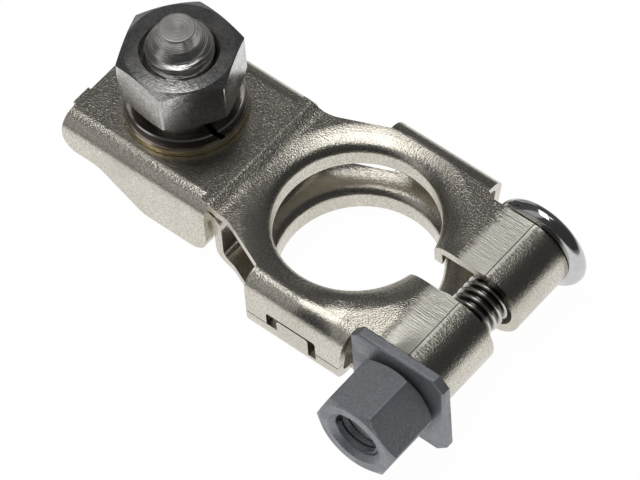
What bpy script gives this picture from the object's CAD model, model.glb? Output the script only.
"""Battery terminal clamp: screw threads, metal finishes, studio and camera around its solids."""
import math

import bmesh
import bpy
from mathutils import Matrix, Vector


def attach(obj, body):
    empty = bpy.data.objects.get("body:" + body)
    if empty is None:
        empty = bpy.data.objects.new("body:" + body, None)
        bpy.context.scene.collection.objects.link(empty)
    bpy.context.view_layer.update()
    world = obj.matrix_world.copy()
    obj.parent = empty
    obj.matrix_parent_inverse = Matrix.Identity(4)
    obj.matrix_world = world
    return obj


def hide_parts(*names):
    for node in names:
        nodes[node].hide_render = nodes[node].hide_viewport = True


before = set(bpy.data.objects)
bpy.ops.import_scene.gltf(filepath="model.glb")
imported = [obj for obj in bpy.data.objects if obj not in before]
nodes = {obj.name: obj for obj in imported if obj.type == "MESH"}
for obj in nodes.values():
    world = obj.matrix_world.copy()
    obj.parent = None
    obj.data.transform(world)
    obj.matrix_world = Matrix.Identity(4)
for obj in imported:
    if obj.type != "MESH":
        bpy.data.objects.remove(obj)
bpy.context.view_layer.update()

MM = 0.001

# Places and sizes of the two screws and the washers, in mm, as in the part's source
STUD_X = -25.0
STUD_HEAD = (15.2, 15.2, 3.6)
STUD_HEAD_MIDDLE = 7.5
BOLT_X = 16.7
BOLT_Z = 6.7
BOLT_SEAT_Y = 11.35
BOLT_LENGTH = 30.45
BOLT_END_Y = BOLT_SEAT_Y - BOLT_LENGTH
BOLT_CORE_RADIUS = 2.4
FLAT_WASHER_TOP = 13.0
SPRING_WASHER_TOP = 14.5
M8_PITCH = 1.25
M6_PITCH = 1.0
STUD_AXIS = Matrix.Translation((STUD_X * MM, 0, 0))
BOLT_AXIS = Matrix.Translation((BOLT_X * MM, BOLT_SEAT_Y * MM, BOLT_Z * MM)) @ Matrix.Rotation(
    math.pi / 2, 4, "X"
)

# The stud's thread, cone and neck, which reach higher and are wider than in the part's source
STUD_CONE_START = 23.5
STUD_THREAD_END = 24.8
STUD_NECK_RADIUS = 2.75


# ---------------------------------------------------------------------------------------------
# Node trees
# ---------------------------------------------------------------------------------------------
def put(tree, kind, inputs=None, **settings):
    """Adds a node, sets its options, and fills or wires its inputs by name or number."""
    node = tree.nodes.new(kind)
    for name, value in settings.items():
        setattr(node, name, value)
    for key, value in (inputs or {}).items():
        socket = node.inputs[key]
        if isinstance(value, bpy.types.NodeSocket):
            tree.links.new(value, socket)
        else:
            socket.default_value = value
    return node


def calc(tree, operation, *values):
    """A Math node, for shaders and geometry alike."""
    return put(tree, "ShaderNodeMath", dict(enumerate(values)), operation=operation).outputs[0]


def squares(tree, a, b):
    """The sum of two squares, which is a squared distance."""
    return calc(tree, "MULTIPLY_ADD", a, a, calc(tree, "MULTIPLY", b, b))


def remap(tree, value, low, high, to_low=0.0, to_high=1.0):
    """Goes softly from one value to another between two limits."""
    inputs = {"Value": value, "From Min": low, "From Max": high, "To Min": to_low, "To Max": to_high}
    node = put(tree, "ShaderNodeMapRange", inputs, interpolation_type="SMOOTHSTEP")
    return node.outputs["Result"]


def axes_of(tree, vector):
    """The X, Y and Z of a vector."""
    return put(tree, "ShaderNodeSeparateXYZ", {0: vector}).outputs


def tree_sockets(tree, inputs, outputs):
    """Declares a tree's named inputs and outputs and returns its two ends."""
    for name, kind, default in inputs:
        socket = tree.interface.new_socket(name, in_out="INPUT", socket_type="NodeSocket" + kind)
        if default is not None:
            socket.default_value = default
    for name, kind in outputs:
        tree.interface.new_socket(name, in_out="OUTPUT", socket_type="NodeSocket" + kind)
    return tree.nodes.new("NodeGroupInput"), tree.nodes.new("NodeGroupOutput")


# ---------------------------------------------------------------------------------------------
# Geometry Nodes for the threads
# ---------------------------------------------------------------------------------------------
ROOT_FLAT = 0.14
HAIR = 1e-7
MERGE_DISTANCE = 2e-6
RIDGE_TURN = math.pi / 2


def screw_thread_tree():
    """A right-handed outer thread along Z, joined to the turned ends that come in.

    The rows of a grid follow the helix. Each row has the radius of its place in the pitch, cut
    back by the cone of the screw's end, and the rows past both ends close on a flat.
    """
    tree = bpy.data.node_groups.new("screw thread", "GeometryNodeTree")
    given, result = tree_sockets(
        tree,
        [
            ("Turned Ends", "Geometry", None),
            ("Pitch", "Float", 1.0),
            ("Crest Radius", "Float", 1.0),
            ("Root Radius", "Float", 0.8),
            ("Start", "Float", 0.0),
            ("End", "Float", 1.0),
            ("Closed Start Radius", "Float", 0.0),
            ("Closed End Radius", "Float", 0.0),
            ("Cone Start", "Float", 1.0),
            ("Cone Slope", "Float", 1.0),
            ("Phase", "Float", 0.0),
            ("Turns", "Int", 2),
            ("Rows per Turn", "Int", 16),
            ("Segments", "Int", 96),
            ("Finish", "Material", None),
        ],
        [("Screw", "Geometry")],
    )
    at = given.outputs

    rows = calc(tree, "MULTIPLY", at["Turns"], at["Rows per Turn"])
    grid = put(tree, "GeometryNodeMeshGrid", {
        "Size X": 1.0,
        "Size Y": 1.0,
        "Vertices X": calc(tree, "ADD", at["Segments"], 1.0),
        "Vertices Y": calc(tree, "ADD", rows, 1.0),
    })
    place = axes_of(tree, put(tree, "GeometryNodeInputPosition").outputs[0])
    round_share = calc(tree, "ADD", place["X"], 0.5)
    length = calc(tree, "MULTIPLY", at["Turns"], at["Pitch"])
    along = calc(tree, "MULTIPLY", calc(tree, "ADD", place["Y"], 0.5), length)
    row = calc(tree, "ADD", calc(tree, "SUBTRACT", at["Start"], at["Pitch"]), along)
    height = calc(tree, "ADD", row, calc(tree, "MULTIPLY", round_share, at["Pitch"]))

    turn = calc(tree, "ADD", calc(tree, "DIVIDE", row, at["Pitch"]), at["Phase"])
    across = calc(tree, "MULTIPLY", calc(tree, "FRACT", turn), 2.0)
    from_root = calc(tree, "ABSOLUTE", calc(tree, "SUBTRACT", across, 1.0))
    flank = remap(tree, from_root, ROOT_FLAT, 1 - ROOT_FLAT, at["Root Radius"], at["Crest Radius"])
    past_cone = calc(tree, "SUBTRACT", height, at["Cone Start"])
    cut = calc(tree, "MULTIPLY", past_cone, at["Cone Slope"])
    coned = calc(tree, "SUBTRACT", at["Crest Radius"], cut)
    radius = calc(tree, "MINIMUM", flank, coned)
    after_end = calc(tree, "GREATER_THAN", height, calc(tree, "SUBTRACT", at["End"], HAIR))
    before_start = calc(tree, "LESS_THAN", height, calc(tree, "ADD", at["Start"], HAIR))
    for past, closed in ((after_end, "Closed End Radius"), (before_start, "Closed Start Radius")):
        kept = calc(tree, "MULTIPLY", radius, calc(tree, "SUBTRACT", 1.0, past))
        radius = calc(tree, "ADD", kept, calc(tree, "MULTIPLY", at[closed], past))
    level = calc(tree, "MINIMUM", calc(tree, "MAXIMUM", height, at["Start"]), at["End"])

    angle = calc(tree, "MULTIPLY", round_share, 2 * math.pi)
    position = put(tree, "ShaderNodeCombineXYZ", {
        "X": calc(tree, "MULTIPLY", radius, calc(tree, "COSINE", angle)),
        "Y": calc(tree, "MULTIPLY", radius, calc(tree, "SINE", angle)),
        "Z": level,
    })
    wound = put(tree, "GeometryNodeSetPosition", {
        "Geometry": grid.outputs["Mesh"], "Position": position.outputs[0],
    })
    joined = put(tree, "GeometryNodeJoinGeometry", {0: at["Turned Ends"]})
    tree.links.new(wound.outputs[0], joined.inputs[0])
    merged = put(tree, "GeometryNodeMergeByDistance", {
        "Geometry": joined.outputs[0], "Distance": MERGE_DISTANCE,
    })
    real = put(tree, "GeometryNodeRealizeInstances", {"Geometry": merged.outputs[0]})
    finished = put(tree, "GeometryNodeSetMaterial", {
        "Geometry": real.outputs[0], "Material": at["Finish"],
    })
    tree.links.new(finished.outputs[0], result.inputs["Screw"])
    return tree


def bore_thread_tree():
    """The thread in a nut: a ridge of trapezoid section wound along the bore."""
    tree = bpy.data.node_groups.new("bore thread", "GeometryNodeTree")
    given, result = tree_sockets(
        tree,
        [
            ("Blank", "Geometry", None),
            ("Pitch", "Float", 1.0),
            ("Bore Radius", "Float", 1.0),
            ("Ridge Height", "Float", 0.2),
            ("Foot Width", "Float", 0.2),
            ("Crest Width", "Float", 0.05),
            ("Turns", "Float", 4.0),
            ("Steps per Turn", "Int", 96),
            ("Finish", "Material", None),
        ],
        [("Ridge", "Geometry")],
    )
    at = given.outputs
    half_ridge = calc(tree, "MULTIPLY", at["Ridge Height"], 0.5)
    middle = calc(tree, "SUBTRACT", at["Bore Radius"], half_ridge)
    path = put(tree, "GeometryNodeCurveSpiral", {
        "Resolution": at["Steps per Turn"],
        "Rotations": at["Turns"],
        "Start Radius": middle,
        "End Radius": middle,
        "Height": calc(tree, "MULTIPLY", at["Turns"], at["Pitch"]),
    })
    upright = put(tree, "GeometryNodeSetCurveNormal", {"Curve": path.outputs[0]}, mode="Z_UP")
    section = put(tree, "GeometryNodeCurvePrimitiveQuadrilateral", {
        "Height": at["Ridge Height"],
        "Bottom Width": at["Foot Width"],
        "Top Width": at["Crest Width"],
        "Offset": 0.0,
    }, mode="TRAPEZOID")
    turned = put(tree, "GeometryNodeTransform", {
        "Geometry": section.outputs[0], "Rotation": (0.0, 0.0, RIDGE_TURN),
    })
    swept = put(tree, "GeometryNodeCurveToMesh", {
        "Curve": upright.outputs[0], "Profile Curve": turned.outputs[0], "Fill Caps": True,
    })
    joined = put(tree, "GeometryNodeJoinGeometry", {0: at["Blank"]})
    tree.links.new(swept.outputs[0], joined.inputs[0])
    real = put(tree, "GeometryNodeRealizeInstances", {"Geometry": joined.outputs[0]})
    finished = put(tree, "GeometryNodeSetMaterial", {
        "Geometry": real.outputs[0], "Material": at["Finish"],
    })
    tree.links.new(finished.outputs[0], result.inputs["Ridge"])
    return tree


def grown(piece, tree, values):
    """Runs a tree on a piece, and leaves the result as the piece's plain mesh."""
    modifier = piece.modifiers.new(tree.name, "NODES")
    modifier.node_group = tree
    for item in tree.interface.items_tree:
        if item.in_out == "INPUT" and item.name in values:
            modifier[item.identifier] = values[item.name]
    evaluated = piece.evaluated_get(bpy.context.evaluated_depsgraph_get())
    mesh = bpy.data.meshes.new_from_object(evaluated)
    piece.modifiers.clear()
    piece.data = mesh
    mesh.name = piece.name


# ---------------------------------------------------------------------------------------------
# Turned and square pieces
# ---------------------------------------------------------------------------------------------
def rounded(points, radius, steps=5):
    """Rounds the corners of a turned profile."""
    smooth = [points[0]]
    for before, corner, after in zip(points, points[1:], points[2:]):
        b, c, a = Vector(before), Vector(corner), Vector(after)
        reach = min(radius, (b - c).length * 0.45, (a - c).length * 0.45)
        first, last = c + (b - c).normalized() * reach, c + (a - c).normalized() * reach
        for i in range(steps + 1):
            t = i / steps
            point = first * (1 - t) ** 2 + c * 2 * t * (1 - t) + last * t**2
            smooth.append(tuple(point))
    return smooth + [points[-1]]


def add_turned(shape, profile, segments=96):
    """Turns a profile of (radius, height) in mm, going up its outside, round Z."""
    rings = []
    for radius, height in profile:
        count = segments if radius > 0 else 1
        rings.append([
            shape.verts.new((
                radius * MM * math.cos(2 * math.pi * i / segments),
                radius * MM * math.sin(2 * math.pi * i / segments),
                height * MM,
            ))
            for i in range(count)
        ])
    for low, high in zip(rings, rings[1:]):
        for i in range(segments):
            j = (i + 1) % segments
            corners = [low[i % len(low)], low[j % len(low)], high[j % len(high)], high[i % len(high)]]
            shape.faces.new(list(dict.fromkeys(corners)))


def add_block(shape, size, centre, edge):
    """Adds a box with rounded edges, sizes in mm."""
    place = Matrix.Translation([c * MM for c in centre]) @ Matrix.Diagonal([s * MM for s in size] + [1])
    made = bmesh.ops.create_cube(shape, size=1, matrix=place)
    edges = {e for v in made["verts"] for e in v.link_edges}
    bmesh.ops.bevel(shape, geom=list(edges), offset=edge * MM, segments=3, affect="EDGES", profile=0.5)


def new_piece(name, shape=None):
    """An object at the origin, with the shape as its mesh."""
    mesh = bpy.data.meshes.new(name)
    if shape:
        shape.to_mesh(mesh)
        shape.free()
    piece = bpy.data.objects.new(name, mesh)
    bpy.context.scene.collection.objects.link(piece)
    return piece


def settle(piece, axis, sharp_angle):
    """Puts a piece made round Z on its axis, shaded smooth but for its sharp edges."""
    piece.data.transform(axis)
    piece.data.shade_smooth()
    piece.data.set_sharp_from_angle(angle=math.radians(sharp_angle))


def make_stud(finish, thread):
    """The M8 cable stud: square head, thread, cone and guide point."""
    shape = bmesh.new()
    add_block(shape, STUD_HEAD, (0, 0, STUD_HEAD_MIDDLE), 0.3)
    point = [(STUD_NECK_RADIUS, STUD_THREAD_END), (2.6, 24.95), (2.34, 25.6), (2.2, 26.25), (2.08, 26.48)]
    add_turned(shape, rounded(point + [(1.2, 26.47)], 0.12) + [(0, 26.46)])
    stud = new_piece("stud", shape)
    grown(stud, thread, {
        "Pitch": M8_PITCH * MM,
        "Crest Radius": 4.0 * MM,
        "Root Radius": 3.25 * MM,
        "Start": 9.1 * MM,
        "End": STUD_THREAD_END * MM,
        "Closed Start Radius": 0.0,
        "Closed End Radius": STUD_NECK_RADIUS * MM,
        "Cone Start": STUD_CONE_START * MM,
        "Cone Slope": (4.0 - STUD_NECK_RADIUS) / (STUD_THREAD_END - STUD_CONE_START),
        "Phase": 0.15,
        "Turns": 14,
        "Finish": finish,
    })
    settle(stud, STUD_AXIS, 50)
    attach(stud, "clamp")
    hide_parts("stud_bolt")


def make_clamp_screw(finish, thread):
    """The M6 clamp bolt: polished round head, and a thread along the whole shank to its flat end."""
    segments = 80
    shape = bmesh.new()
    crown = [(0, -2.3), (1.6, -2.28), (3.2, -2.2), (4.6, -2.08), (5.45, -1.93)]
    rim = [(6.05, -1.55), (6.25, -1.0), (6.05, -0.4), (5.6, 0.0)]
    add_turned(shape, rounded(crown + rim, 0.5, 6) + [(3.2, 0), (0, 0)])
    add_turned(shape, [(BOLT_CORE_RADIUS, BOLT_LENGTH), (0, BOLT_LENGTH)], segments)
    screw = new_piece("clamp_screw", shape)
    grown(screw, thread, {
        "Pitch": M6_PITCH * MM,
        "Crest Radius": 3.0 * MM,
        "Root Radius": BOLT_CORE_RADIUS * MM,
        "Start": -0.3 * MM,
        "End": BOLT_LENGTH * MM,
        "Closed Start Radius": 0.0,
        "Closed End Radius": BOLT_CORE_RADIUS * MM,
        "Cone Start": 29.85 * MM,
        "Cone Slope": 0.8,
        "Phase": 0.0,
        "Turns": 32,
        "Rows per Turn": 12,
        "Segments": segments,
        "Finish": finish,
    })
    settle(screw, BOLT_AXIS, 50)
    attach(screw, "clamp")
    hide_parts("clamp_bolt")


def make_bore_thread(name, body, finish, tree, axis, start, pitch, bore, ridge, turns):
    """The ridge of a nut's inner thread, in step with the thread of its screw."""
    rooted = 0.06
    piece = new_piece(name)
    grown(piece, tree, {
        "Pitch": pitch * MM,
        "Bore Radius": (bore + rooted) * MM,
        "Ridge Height": (ridge + rooted) * MM,
        "Foot Width": 0.74 * pitch * MM,
        "Crest Width": 0.14 * pitch * MM,
        "Turns": turns,
        "Finish": finish,
    })
    settle(piece, axis @ Matrix.Translation((0, 0, start * MM)), 30)
    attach(piece, body)


# ---------------------------------------------------------------------------------------------
# Finishes
# ---------------------------------------------------------------------------------------------
# Numbers of the Mix node's sockets for colours
MIX_COLOUR_A = 6
MIX_COLOUR_B = 7
MIX_COLOUR_RESULT = 2


def grain_group():
    """Fine crystalline grain of a plated surface: how high and how bright each fleck is."""
    tree = bpy.data.node_groups.new("plating grain", "ShaderNodeTree")
    given, result = tree_sockets(
        tree,
        [("Vector", "Vector", None), ("Grain Size", "Float", 0.2)],
        [("Height", "Float"), ("Flecks", "Float")],
    )
    per_metre = calc(tree, "DIVIDE", 1 / MM, given.outputs["Grain Size"])
    fine = put(tree, "ShaderNodeTexNoise", {
        "Vector": given.outputs["Vector"], "Scale": per_metre, "Detail": 1.0, "Roughness": 0.6,
    })
    coarse = put(tree, "ShaderNodeTexNoise", {
        "Vector": given.outputs["Vector"],
        "Scale": calc(tree, "MULTIPLY", per_metre, 0.37),
        "Detail": 1.0,
    })
    height = calc(tree, "MULTIPLY_ADD", coarse.outputs[0], 0.5, fine.outputs[0])
    tree.links.new(height, result.inputs["Height"])
    tree.links.new(remap(tree, fine.outputs[0], 0.3, 0.7), result.inputs["Flecks"])
    return tree


def cloud_group():
    """Soft patches, for tarnish and handling."""
    tree = bpy.data.node_groups.new("soft patches", "ShaderNodeTree")
    given, result = tree_sockets(
        tree,
        [("Vector", "Vector", None), ("Patch Size", "Float", 5.0)],
        [("Patches", "Float")],
    )
    noise = put(tree, "ShaderNodeTexNoise", {
        "Vector": given.outputs["Vector"],
        "Scale": calc(tree, "DIVIDE", 1 / MM, given.outputs["Patch Size"]),
        "Detail": 4.0,
        "Roughness": 0.6,
        "Distortion": 0.4,
    })
    tree.links.new(remap(tree, noise.outputs[0], 0.35, 0.68), result.inputs["Patches"])
    return tree


def streak_group():
    """Parallel tool marks that run along the vector's X."""
    tree = bpy.data.node_groups.new("tool marks", "ShaderNodeTree")
    given, result = tree_sockets(
        tree,
        [("Vector", "Vector", None), ("Length", "Float", 3.0), ("Spacing", "Float", 0.2)],
        [("Marks", "Float")],
    )
    axes = axes_of(tree, given.outputs["Vector"])
    lengthwise = calc(tree, "DIVIDE", 1 / MM, given.outputs["Length"])
    crosswise = calc(tree, "DIVIDE", 1 / MM, given.outputs["Spacing"])
    stretched = put(tree, "ShaderNodeCombineXYZ", {
        "X": calc(tree, "MULTIPLY", axes["X"], lengthwise),
        "Y": calc(tree, "MULTIPLY", axes["Y"], crosswise),
        "Z": calc(tree, "MULTIPLY", axes["Z"], crosswise),
    })
    noise = put(tree, "ShaderNodeTexNoise", {
        "Vector": stretched.outputs[0], "Scale": 1.0, "Detail": 2.0, "Roughness": 0.7,
    })
    tree.links.new(noise.outputs[0], result.inputs["Marks"])
    return tree


def turning_group():
    """Rings left by turning round the vector's Z."""
    tree = bpy.data.node_groups.new("turning rings", "ShaderNodeTree")
    given, result = tree_sockets(
        tree,
        [("Vector", "Vector", None), ("Spacing", "Float", 0.15)],
        [("Rings", "Float")],
    )
    axes = axes_of(tree, given.outputs["Vector"])
    radius = calc(tree, "SQRT", squares(tree, axes["X"], axes["Y"]))
    per_metre = calc(tree, "DIVIDE", 1 / MM, given.outputs["Spacing"])
    unevenness = 60.0
    rings = put(tree, "ShaderNodeCombineXYZ", {
        "X": calc(tree, "MULTIPLY", radius, per_metre),
        "Y": calc(tree, "MULTIPLY", axes["Z"], per_metre),
        "Z": calc(tree, "MULTIPLY", axes["X"], unevenness),
    })
    noise = put(tree, "ShaderNodeTexNoise", {
        "Vector": rings.outputs[0], "Scale": 1.0, "Detail": 2.0, "Roughness": 0.6,
    })
    tree.links.new(noise.outputs[0], result.inputs["Rings"])
    return tree


def new_finish(name):
    """A metal with its node tree, its Principled shader and the Object coordinates."""
    finish = bpy.data.materials.new(name)
    finish.use_nodes = True
    tree = finish.node_tree
    shader = tree.nodes["Principled BSDF"]
    shader.inputs["Metallic"].default_value = 1.0
    return finish, tree, shader, put(tree, "ShaderNodeTexCoord").outputs["Object"]


def group_node(tree, group, inputs):
    """Places a group in a material with its own values, and returns its outputs."""
    return put(tree, "ShaderNodeGroup", inputs, node_tree=group).outputs


def blend(tree, share, low, high):
    """Mixes two colours, each a socket or three numbers, by a share."""
    sides = [value if isinstance(value, bpy.types.NodeSocket) else (*value, 1) for value in (low, high)]
    inputs = {0: share, MIX_COLOUR_A: sides[0], MIX_COLOUR_B: sides[1]}
    return put(tree, "ShaderNodeMix", inputs, data_type="RGBA").outputs[MIX_COLOUR_RESULT]


def round_stud(tree, place):
    """The coordinates taken from the stud's axis."""
    inputs = {"Vector": place, "Location": (-STUD_X * MM, 0, 0)}
    return put(tree, "ShaderNodeMapping", inputs).outputs[0]


def finish_surface(tree, shader, colour, rough, height, distance, normal=None):
    """Wires a finish: its colour, its roughness, and its relief with its depth in mm."""
    tree.links.new(colour, shader.inputs["Base Color"])
    tree.links.new(rough, shader.inputs["Roughness"])
    relief = {"Height": height, "Distance": distance * MM}
    if normal:
        relief["Normal"] = normal
    tree.links.new(put(tree, "ShaderNodeBump", relief).outputs[0], shader.inputs["Normal"])


def plated_sheet_finish(grain, patches, marks):
    """Matt tin plate over brass, with drawing marks across the rolled jaws."""
    finish, tree, shader, place = new_finish("tin plated sheet")
    flecks = group_node(tree, grain, {"Vector": place, "Grain Size": 0.19})
    tarnish = group_node(tree, patches, {"Vector": place, "Patch Size": 6.0})["Patches"]
    drawn = group_node(tree, marks, {"Vector": place, "Length": 2.4, "Spacing": 0.16})["Marks"]
    axes = axes_of(tree, place)
    x, y = axes["X"], axes["Y"]

    # Band of drawing marks on top of the jaws, ragged at its rear edge, and the score over the bolt
    band_rear, band_front, score_half = 13.3, 18.0, 0.03
    on_top = remap(tree, axes["Z"], 10.6 * MM, 11.0 * MM)
    ragged = calc(tree, "MULTIPLY_ADD", drawn, 1.8 * MM, x)
    band = calc(
        tree, "MULTIPLY",
        remap(tree, ragged, band_rear * MM, (band_rear + 1.0) * MM),
        remap(tree, ragged, band_front * MM, (band_front + 0.3) * MM, 1.0, 0.0),
    )
    band = calc(tree, "MULTIPLY", band, on_top)
    off_bolt = calc(tree, "ABSOLUTE", calc(tree, "SUBTRACT", x, BOLT_X * MM))
    score = remap(tree, off_bolt, score_half * MM, 3 * score_half * MM, 1.0, 0.0)
    score = calc(tree, "MULTIPLY", on_top, score)

    bright = blend(tree, tarnish, (0.72, 0.685, 0.61), (0.64, 0.60, 0.525))
    plate = blend(tree, flecks["Flecks"], (0.49, 0.46, 0.395), bright)
    plate = blend(tree, band, plate, (0.93, 0.90, 0.80))
    plate = blend(tree, score, plate, (0.08, 0.07, 0.05))
    rough = calc(tree, "MULTIPLY_ADD", band, 0.16, remap(tree, tarnish, 0.0, 1.0, 0.22, 0.27))

    # Sheet drawn softly down towards the collars, and bowed where it meets the near jaw
    from_post = calc(tree, "SQRT", squares(tree, x, y))
    bowed = calc(
        tree, "MULTIPLY",
        remap(tree, y, -14.5 * MM, -6.0 * MM, -1.0, 0.0),
        calc(
            tree, "MULTIPLY",
            remap(tree, x, 2.0 * MM, 8.0 * MM),
            remap(tree, x, 14.5 * MM, 17.5 * MM, 1.0, 0.0),
        ),
    )
    dish = calc(tree, "MULTIPLY_ADD", bowed, 3.4, remap(tree, from_post, 10.8 * MM, 13.2 * MM))
    dished = put(tree, "ShaderNodeBump", {"Height": dish, "Distance": 0.26 * MM}).outputs[0]
    height = calc(tree, "MULTIPLY_ADD", calc(tree, "MULTIPLY", drawn, band), 2.6, flecks["Height"])
    finish_surface(tree, shader, plate, rough, height, 0.029, dished)
    return finish


def stud_steel_finish(patches, rings):
    """Satin stainless steel of the stud, turned all over and duller on its tip."""
    finish, tree, shader, place = new_finish("satin steel stud")
    turned = group_node(tree, rings, {"Vector": round_stud(tree, place), "Spacing": 0.12})["Rings"]
    handled = group_node(tree, patches, {"Vector": place, "Patch Size": 3.0})["Patches"]
    colour = blend(tree, handled, (0.70, 0.68, 0.65), (0.546, 0.5304, 0.507))
    on_tip = remap(tree, axes_of(tree, place)["Z"], 26.3 * MM, 26.4 * MM)
    rough = calc(tree, "MULTIPLY_ADD", on_tip, 0.3, remap(tree, turned, 0.3, 0.7, 0.14, 0.24))
    finish_surface(tree, shader, colour, rough, turned, 0.05)
    return finish


def nut_steel_finish(grain, patches, rings):
    """Satin stainless steel of the stud nut: turned on its end faces, rolled on its flats."""
    finish, tree, shader, place = new_finish("satin steel nut")
    centred = round_stud(tree, place)
    turned = group_node(tree, rings, {"Vector": centred, "Spacing": 0.16})["Rings"]
    flecks = group_node(tree, grain, {"Vector": place, "Grain Size": 0.3})
    handled = group_node(tree, patches, {"Vector": place, "Patch Size": 4.0})["Patches"]
    colour = blend(tree, handled, (0.66, 0.65, 0.63), (0.50, 0.49, 0.47))
    colour = blend(tree, flecks["Flecks"], (0.42, 0.41, 0.40), colour)
    rough = remap(tree, handled, 0.0, 1.0, 0.17, 0.28)

    # End face turned slightly domed round the bore
    axes = axes_of(tree, centred)
    facing = axes_of(tree, put(tree, "ShaderNodeTexCoord").outputs["Normal"])["Z"]
    fall = calc(tree, "MULTIPLY", squares(tree, axes["X"], axes["Y"]), -8.5)
    dome = calc(tree, "MULTIPLY", fall, remap(tree, facing, 0.9, 0.95))
    domed = put(tree, "ShaderNodeBump", {"Height": dome, "Distance": 1.0}).outputs[0]
    height = calc(tree, "MULTIPLY_ADD", turned, 0.5, flecks["Height"])
    finish_surface(tree, shader, colour, rough, height, 0.009, domed)
    return finish


def washer_finish(patches, rings):
    """Thin yellow zinc plate: gold on the flat washer, browner and dark-walled on the spring washer."""
    finish, tree, shader, place = new_finish("yellow zinc washer")
    turned = group_node(tree, rings, {"Vector": round_stud(tree, place), "Spacing": 0.2})["Rings"]
    tint = group_node(tree, patches, {"Vector": place, "Patch Size": 2.5})["Patches"]
    z = axes_of(tree, place)["Z"]
    middle = (FLAT_WASHER_TOP + SPRING_WASHER_TOP) / 2
    from_middle = calc(tree, "ABSOLUTE", calc(tree, "SUBTRACT", z, middle * MM))
    wall = remap(tree, from_middle, 0.5 * MM, 0.64 * MM, 1.0, 0.0)
    on_flat = remap(tree, z, (FLAT_WASHER_TOP - 0.4) * MM, (FLAT_WASHER_TOP + 0.2) * MM, 1.0, 0.0)
    brown = blend(tree, tint, (0.85, 0.80, 0.77), (0.62, 0.56, 0.54))
    brown = blend(tree, wall, brown, (0.13, 0.115, 0.115))
    gold = blend(tree, tint, (0.92, 0.80, 0.50), (0.70, 0.55, 0.32))
    rough = remap(tree, turned, 0.3, 0.7, 0.12, 0.22)
    finish_surface(tree, shader, blend(tree, on_flat, brown, gold), rough, turned, 0.006)
    return finish


def bright_screw_finish(patches, rings):
    """Polished head, rolled thread and plain end of the clamp bolt."""
    finish, tree, shader, place = new_finish("bright plated screw")
    location = (-BOLT_X * MM, 0, -BOLT_Z * MM)
    centred = put(tree, "ShaderNodeMapping", {"Vector": place, "Location": location}).outputs[0]
    axes = axes_of(tree, centred)
    along = put(tree, "ShaderNodeCombineXYZ", {"X": axes["X"], "Y": axes["Z"], "Z": axes["Y"]}).outputs[0]
    turned = group_node(tree, rings, {"Vector": along, "Spacing": 0.22})["Rings"]
    dull = group_node(tree, patches, {"Vector": place, "Patch Size": 3.0})["Patches"]

    from_axis = calc(tree, "SQRT", squares(tree, axes["X"], axes["Z"]))
    crest = remap(tree, from_axis, 2.55 * MM, 2.98 * MM)
    on_end = remap(tree, axes["Y"], (BOLT_END_Y + 0.02) * MM, (BOLT_END_Y + 0.08) * MM, 1.0, 0.0)
    on_head = remap(tree, axes["Y"], (BOLT_SEAT_Y - 0.15) * MM, BOLT_SEAT_Y * MM)
    thread = blend(tree, crest, (0.16, 0.15, 0.14), (0.62, 0.60, 0.57))
    thread = blend(tree, on_end, thread, (0.85, 0.86, 0.88))
    chrome = blend(tree, dull, (0.60, 0.60, 0.61), (0.53, 0.53, 0.54))
    rough = calc(tree, "MULTIPLY_ADD", on_head, -0.09, remap(tree, turned, 0.3, 0.7, 0.15, 0.23))
    rough = calc(tree, "MULTIPLY_ADD", on_end, 0.4, rough)
    finish_surface(tree, shader, blend(tree, on_head, thread, chrome), rough, turned, 0.0025)
    return finish


def zinc_flake_finish(grain, patches):
    """Matt blue-grey zinc flake coat of the clamp nut and its square washer."""
    finish, tree, shader, place = new_finish("zinc flake coat")
    shader.inputs["Metallic"].default_value = 0.55
    flecks = group_node(tree, grain, {"Vector": place, "Grain Size": 0.34})
    worn = group_node(tree, patches, {"Vector": place, "Patch Size": 3.5})["Patches"]
    colour = blend(tree, worn, (0.46, 0.48, 0.515), (0.40, 0.42, 0.45))
    colour = blend(tree, flecks["Flecks"], (0.36, 0.37, 0.40), colour)
    rough = remap(tree, worn, 0.0, 1.0, 0.46, 0.56)
    finish_surface(tree, shader, colour, rough, flecks["Height"], 0.030)
    return finish


def finish_node(name, finish):
    """Puts a finish on a solid that stays as it is."""
    for slot in nodes[name].material_slots:
        slot.material = finish


grain, patches, marks, rings = grain_group(), cloud_group(), streak_group(), turning_group()
sheet_finish = plated_sheet_finish(grain, patches, marks)
nut_finish = nut_steel_finish(grain, patches, rings)
stud_finish = stud_steel_finish(patches, rings)
yellow_finish = washer_finish(patches, rings)
screw_finish = bright_screw_finish(patches, rings)
flake_finish = zinc_flake_finish(grain, patches)
finish_node("clamp_body", sheet_finish)
finish_node("stud_nut", nut_finish)
for washer in ("flat_washer", "spring_washer"):
    finish_node(washer, yellow_finish)
for coated in ("square_washer", "clamp_nut"):
    finish_node(coated, flake_finish)

screw_thread = screw_thread_tree()
bore_thread = bore_thread_tree()
make_stud(stud_finish, screw_thread)
make_clamp_screw(screw_finish, screw_thread)
make_bore_thread(
    "stud_nut_thread", "stud_nut", nut_finish, bore_thread, STUD_AXIS,
    start=16.69, pitch=M8_PITCH, bore=4.05, ridge=0.55, turns=4.2,
)
make_bore_thread(
    "clamp_nut_thread", "clamp_nut", flake_finish, bore_thread, BOLT_AXIS,
    start=26.5, pitch=M6_PITCH, bore=3.05, ridge=0.5, turns=5.5,
)


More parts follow.
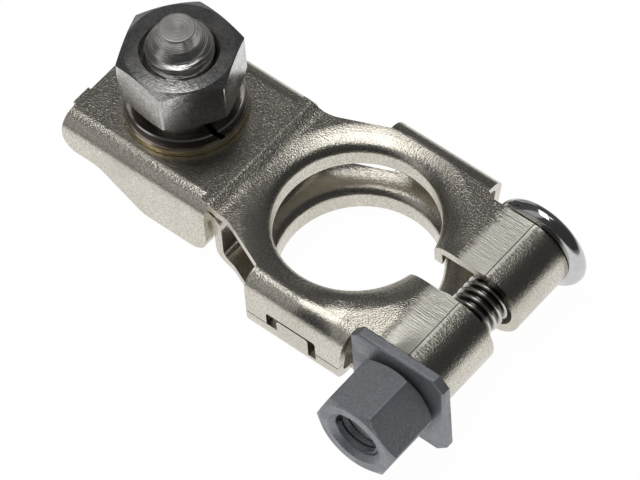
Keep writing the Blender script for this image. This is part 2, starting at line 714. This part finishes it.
# ---------------------------------------------------------------------------------------------
# Studio
# ---------------------------------------------------------------------------------------------
def white_paper():
    """Paper that metal sees as white near the object and as grey further off, in metres."""
    object_reach = {"X": 0.032, "Y": 0.015}
    white_reach, grey_reach, grey = 0.012, 0.075, 0.2
    glow_strength, glow_share = 1.08, 0.9

    paper = bpy.data.materials.new("white paper")
    paper.use_nodes = True
    tree = paper.node_tree
    shader = tree.nodes["Principled BSDF"]
    shader.inputs["Base Color"].default_value = (0.8, 0.8, 0.8, 1)
    shader.inputs["Roughness"].default_value = 1.0
    shader.inputs["Specular IOR Level"].default_value = 0.0

    axes = axes_of(tree, put(tree, "ShaderNodeTexCoord").outputs["Object"])
    beside = []
    for axis, reach in object_reach.items():
        outside = calc(tree, "SUBTRACT", calc(tree, "ABSOLUTE", axes[axis]), reach)
        beside.append(calc(tree, "MAXIMUM", outside, 0.0))
    away = calc(tree, "SQRT", squares(tree, *beside))
    near = remap(tree, away, white_reach, grey_reach, 1.0, grey)

    rays = put(tree, "ShaderNodeLightPath").outputs
    reflected = calc(tree, "MAXIMUM", rays["Is Glossy Ray"], rays["Is Transmission Ray"])
    white = calc(tree, "MAXIMUM", rays["Is Camera Ray"], calc(tree, "MULTIPLY", reflected, near))
    seen = calc(tree, "MAXIMUM", rays["Is Camera Ray"], reflected)
    glow = put(tree, "ShaderNodeEmission", {
        "Color": (1, 1, 1, 1), "Strength": calc(tree, "MULTIPLY", white, glow_strength),
    })
    mixed = put(tree, "ShaderNodeMixShader", {
        0: calc(tree, "MULTIPLY", seen, glow_share), 1: shader.outputs[0], 2: glow.outputs[0],
    })
    tree.links.new(mixed.outputs[0], tree.nodes["Material Output"].inputs["Surface"])
    return paper


def make_floor():
    """A pale floor that stays white to the camera and to the metal, and keeps the shadow."""
    size = 3.0
    mesh = bpy.data.meshes.new("floor")
    mesh.from_pydata(
        [(-size, -size, 0), (size, -size, 0), (size, size, 0), (-size, size, 0)], [], [(0, 1, 2, 3)]
    )
    floor = bpy.data.objects.new("floor", mesh)
    bpy.context.scene.collection.objects.link(floor)
    mesh.materials.append(white_paper())


def make_world():
    """A dim room, darker towards the side the object is seen from."""
    world = bpy.data.worlds.new("studio")
    bpy.context.scene.world = world
    world.use_nodes = True
    tree = world.node_tree
    towards = put(tree, "ShaderNodeTexCoord").outputs["Generated"]
    seen_side = (0.95, -0.25, 0.0)
    share = put(tree, "ShaderNodeVectorMath", {0: towards, 1: seen_side}, operation="DOT_PRODUCT")
    shade = remap(tree, share.outputs["Value"], -0.15, 0.45)
    room = blend(tree, shade, (0.085, 0.085, 0.087), (0.05, 0.05, 0.052))
    tree.links.new(room, tree.nodes["Background"].inputs["Color"])


def direction(azimuth, elevation):
    """A unit vector from angles in degrees, from +X and above the floor."""
    a, e = math.radians(azimuth), math.radians(elevation)
    return Vector((math.cos(e) * math.cos(a), math.cos(e) * math.sin(a), math.sin(e)))


def make_softbox(name, width, height, radiance, azimuth, elevation):
    """A rectangular soft lamp one metre from the object and turned to it."""
    lamp = bpy.data.lights.new(name, "AREA")
    lamp.shape = "RECTANGLE"
    lamp.size = width
    lamp.size_y = height
    lamp.energy = radiance * math.pi * width * height
    place = direction(azimuth, elevation)
    softbox = bpy.data.objects.new(name, lamp)
    softbox.rotation_euler = (-place).to_track_quat("-Z", "Y").to_euler()
    softbox.location = place
    softbox.visible_camera = False
    bpy.context.scene.collection.objects.link(softbox)


def make_camera():
    """A long lens that looks down on the clamp from its right front corner, slightly rolled."""
    azimuth, elevation, roll = 43.4307 - 90, 53.9902, math.radians(-5.0128)
    back = direction(azimuth, elevation)
    level = Vector((-math.sin(math.radians(azimuth)), math.cos(math.radians(azimuth)), 0))
    up = back.cross(level)
    rolled_right = math.cos(roll) * level + math.sin(roll) * up
    rolled_up = math.cos(roll) * up - math.sin(roll) * level
    camera = bpy.data.objects.new("camera", bpy.data.cameras.new("camera"))
    bpy.context.scene.collection.objects.link(camera)
    camera.data.sensor_width = 36
    camera.data.lens = 304.294
    camera.data.clip_start = 0.05
    camera.data.clip_end = 20
    turn = Matrix((rolled_right, rolled_up, back)).transposed()
    camera.matrix_world = Matrix.Translation((0.24416, -0.26413, 0.50221)) @ turn.to_4x4()
    bpy.context.scene.camera = camera


make_floor()
make_world()
# Name, width and height in metres, radiance, azimuth and elevation in degrees
make_softbox("overhead", 0.72, 0.4, 2.5, -165, 80)
make_softbox("left panel", 0.44, 1.3, 0.36, -122, 34)
make_softbox("back sweep", 0.72, 0.42, 0.4, 141, 12.5)
make_softbox("small window", 0.16, 0.26, 1.7, 62, 77)
make_camera()
bpy.context.scene.view_settings.view_transform = "Standard"
